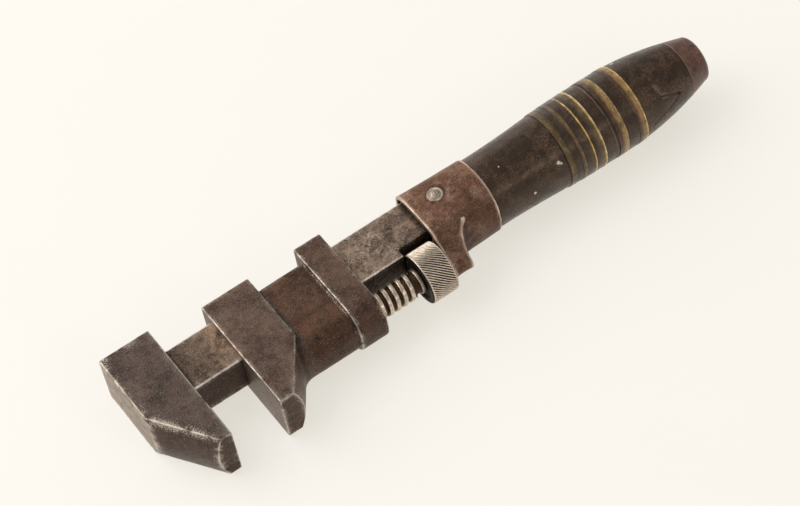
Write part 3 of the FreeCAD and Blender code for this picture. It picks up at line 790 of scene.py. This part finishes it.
def handle_pieces():
    # node, colour at its front, colour at its rear, where the change runs, dark seam in front
    discs = [
        ("amber_disc_1", (0.120, 0.078, 0.032), (0.070, 0.044, 0.022), (0.3, 1.0), True),
        ("black_disc_1", (0.030, 0.020, 0.013), (0.036, 0.024, 0.015), (0.5, 1.0), False),
        ("amber_disc_2", (0.046, 0.029, 0.016), (0.130, 0.082, 0.034), (0.1, 0.7), False),
        ("brown_disc_1", (0.026, 0.018, 0.014), (0.052, 0.032, 0.020), (0.3, 1.0), True),
        ("bright_washer_1", (0.260, 0.155, 0.045), (0.640, 0.420, 0.120), (0.0, 0.7), False),
        ("brown_disc_2", (0.026, 0.018, 0.014), (0.130, 0.082, 0.036), (0.2, 1.0), True),
        ("bright_washer_2", (0.380, 0.270, 0.110), (0.700, 0.540, 0.250), (0.2, 0.8), False),
        ("black_disc_2", (0.026, 0.015, 0.010), (0.030, 0.018, 0.012), (0.2, 1.0), True),
        ("pale_washer", (0.120, 0.078, 0.050), (0.170, 0.115, 0.078), (0.0, 1.0), False),
        ("black_disc_3", (0.020, 0.012, 0.008), (0.026, 0.015, 0.010), (0.0, 1.0), True),
        ("amber_disc_3", (0.050, 0.028, 0.015), (0.330, 0.205, 0.086), (0.25, 1.0), False),
        ("bright_washer_3", (0.260, 0.185, 0.070), (0.400, 0.290, 0.115), (0.0, 0.8), False),
        ("black_disc_4", (0.026, 0.015, 0.010), (0.036, 0.021, 0.013), (0.6, 1.0), True),
        ("amber_disc_4", (0.052, 0.029, 0.016), (0.330, 0.190, 0.078), (0.2, 1.0), False),
        ("bright_washer_4", (0.280, 0.185, 0.075), (0.640, 0.440, 0.160), (0.3, 0.9), False),
    ]
    for seed, (node, front, rear, change, seam) in enumerate(discs):
        skin = horn(node + "_horn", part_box(node), front, rear, DISC_DUST, change, seam)
        handle_ring(node, skin, 100 + seed)
    barrel = (0.024, 0.013, 0.008)
    # distance behind the front barrel's front, degrees round from +Y, radius, in millimetres
    paint = [(28.1, 146, 0.9), (29.0, 149, 0.6), (15.6, 170, 0.7), (8.0, 104, 0.35)]
    paint = [(on_grip("front_barrel", x * MM, turn), radius * MM) for x, turn, radius in paint]
    skin = horn("front_barrel_horn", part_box("front_barrel"), barrel, barrel, BARREL_DUST, spots=paint)
    handle_ring("front_barrel", skin, 201, BARREL_LUMP)
    fleck = [(on_grip("rear_barrel", 2.8 * MM, 52), 0.8 * MM)]
    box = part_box("rear_barrel")
    skin = horn("rear_barrel_horn", box, barrel, barrel, BARREL_DUST, seam=True, spots=fleck)
    handle_ring("rear_barrel", skin, 202, BARREL_LUMP, barrel_gouge)
    handle_ring("end_cap", cap_fibre("end_cap_fibre"), 203, CAP_LUMP)


def rosette():
    """The knurled ring: one set of right-hand helical grooves, shallow at both chamfered rims."""
    low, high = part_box("knurled_rosette")
    centre = ((low.y + high.y) / 2, (low.z + high.z) / 2)
    outer = (high.y - low.y) / 2
    bore = cad_outline("knurled_rosette")[2]
    rim, dish_r, dish = 0.55 * MM, 7.6 * MM, 0.7 * MM
    xs = np.linspace(low.x + rim, high.x - rim, 46)
    profile = [(low.x + dish, bore), (low.x + dish, dish_r - 0.5 * MM), (low.x + dish * 0.6, dish_r),
               (low.x, dish_r + 0.15 * MM), (low.x, outer - rim), (low.x + rim * 0.35, outer - rim * 0.35)]
    profile += [(x, outer) for x in xs]
    profile += [(high.x - rim * 0.35, outer - rim * 0.35), (high.x, outer - rim)]
    profile += [(high.x, (outer + bore) / 2), (high.x, bore)]
    twist = math.tan(math.radians(KNURL_ANGLE)) / outer

    def shape(gx, gr, ga):
        wave = 0.5 + 0.5 * np.cos(KNURL_COUNT * (ga - twist * (gx - low.x)))
        flat = np.stack([gx, gr * np.cos(ga), gr * np.sin(ga)], -1).reshape(-1, 3)
        wear = 0.85 + 0.35 * layered_noise(flat, 4 * MM, 55, 2).reshape(gr.shape)
        inset = np.minimum(gx - low.x, high.x - gx)
        groove = KNURL_DEPTH * wear * smoothstep(0.80, 0.12, wave) * smoothstep(0.35 * MM, 1.0 * MM, inset)
        sunk = groove * smoothstep(outer - rim, outer - rim * 0.3, gr)
        return gx, gr - sunk, sunk

    mesh, _ = ring_mesh("knurled_ring", profile, centre, KNURL_COUNT * KNURL_SAMPLES, shape)
    skin = grooved_steel("rosette_steel", "knurled_rosette", outer - 0.34 * MM, outer - 0.06 * MM,
                         (0.022, 0.013, 0.008), (0.72, 0.61, 0.50), 0.9)
    new_piece("knurled_ring", mesh, "knurled_rosette", skin)


# ============================== stage ========================================================
def floor():
    """A pale table, tilted so that the striking end's lower edge and the grip's widest part rest on it."""
    head_x, head_low = CAD_LOW.x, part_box("sliding_jaw")[0].z    # the head is as thick as this jaw
    points = np.concatenate([vertex_array(node.data) for node in frame["nodes"].values()])
    rear = points[points[:, 0] > CAD_CENTRE.x]
    slope = float(((rear[:, 2] - head_low) / (rear[:, 0] - head_x)).min())
    mesh = bpy.data.meshes.new("table_top")
    half = FLOOR_SIZE / 2
    corners = [(x, y, head_low + slope * (x - head_x) - 0.02 * MM)
               for x, y in ((-half, -half), (half, -half), (half, half), (-half, half))]
    mesh.from_pydata(corners, [], [(0, 1, 2, 3)])
    table = bpy.data.objects.new("table_top", mesh)
    bpy.context.scene.collection.objects.link(table)
    g = Graph("pale_table")
    shade = g.range(g.noise(60 * MM, 4, 0.5), 0.3, 0.7)
    colour = g.blend(shade, FLOOR_COLOUR, tuple(c * 0.985 for c in FLOOR_COLOUR))
    g.set(base_color=colour, roughness=0.8, emission_color=FLOOR_GLOW, emission_strength=1.0)
    mesh.materials.append(g.material)


def lights():
    world = bpy.data.worlds.new("soft_room")
    world.use_nodes = True
    background = world.node_tree.nodes["Background"]
    background.inputs["Color"].default_value = (*WORLD_COLOUR, 1.0)
    background.inputs["Strength"].default_value = WORLD_STRENGTH
    bpy.context.scene.world = world
    for name, direction, distance, width, height, power, colour in LIGHTS:
        lamp = bpy.data.lights.new(name, "AREA")
        lamp.shape = "RECTANGLE"
        lamp.size, lamp.size_y = width, height
        lamp.energy = power
        lamp.color = colour
        holder = bpy.data.objects.new(name, lamp)
        bpy.context.scene.collection.objects.link(holder)
        toward = Vector(direction).normalized()
        holder.location = CAD_CENTRE + toward * distance
        holder.rotation_mode = "QUATERNION"
        holder.rotation_quaternion = toward.to_track_quat("Z", "Y")


def camera():
    azimuth, elevation = math.radians(CAMERA_AZIMUTH), math.radians(CAMERA_ELEVATION)
    back = Vector((math.sin(azimuth) * math.cos(elevation), -math.cos(azimuth) * math.cos(elevation),
                   math.sin(elevation)))
    level = back.to_track_quat("Z", "Y").to_matrix()
    roll = Matrix.Rotation(math.radians(CAMERA_ROLL), 3, "Z")
    data = bpy.data.cameras.new("camera")
    data.sensor_width = 36.0
    data.lens = CAMERA_LENS
    data.clip_start, data.clip_end = 0.05, 20.0
    holder = bpy.data.objects.new("camera", data)
    bpy.context.scene.collection.objects.link(holder)
    holder.rotation_mode = "QUATERNION"
    holder.rotation_quaternion = (level @ roll).to_quaternion()
    holder.location = CAD_CENTRE + AIM_OFFSET + back * CAMERA_DISTANCE
    bpy.context.scene.camera = holder


bpy.context.scene.view_settings.view_transform = "Standard"
metal_pieces()
rosette()
handle_pieces()
floor()
lights()
camera()
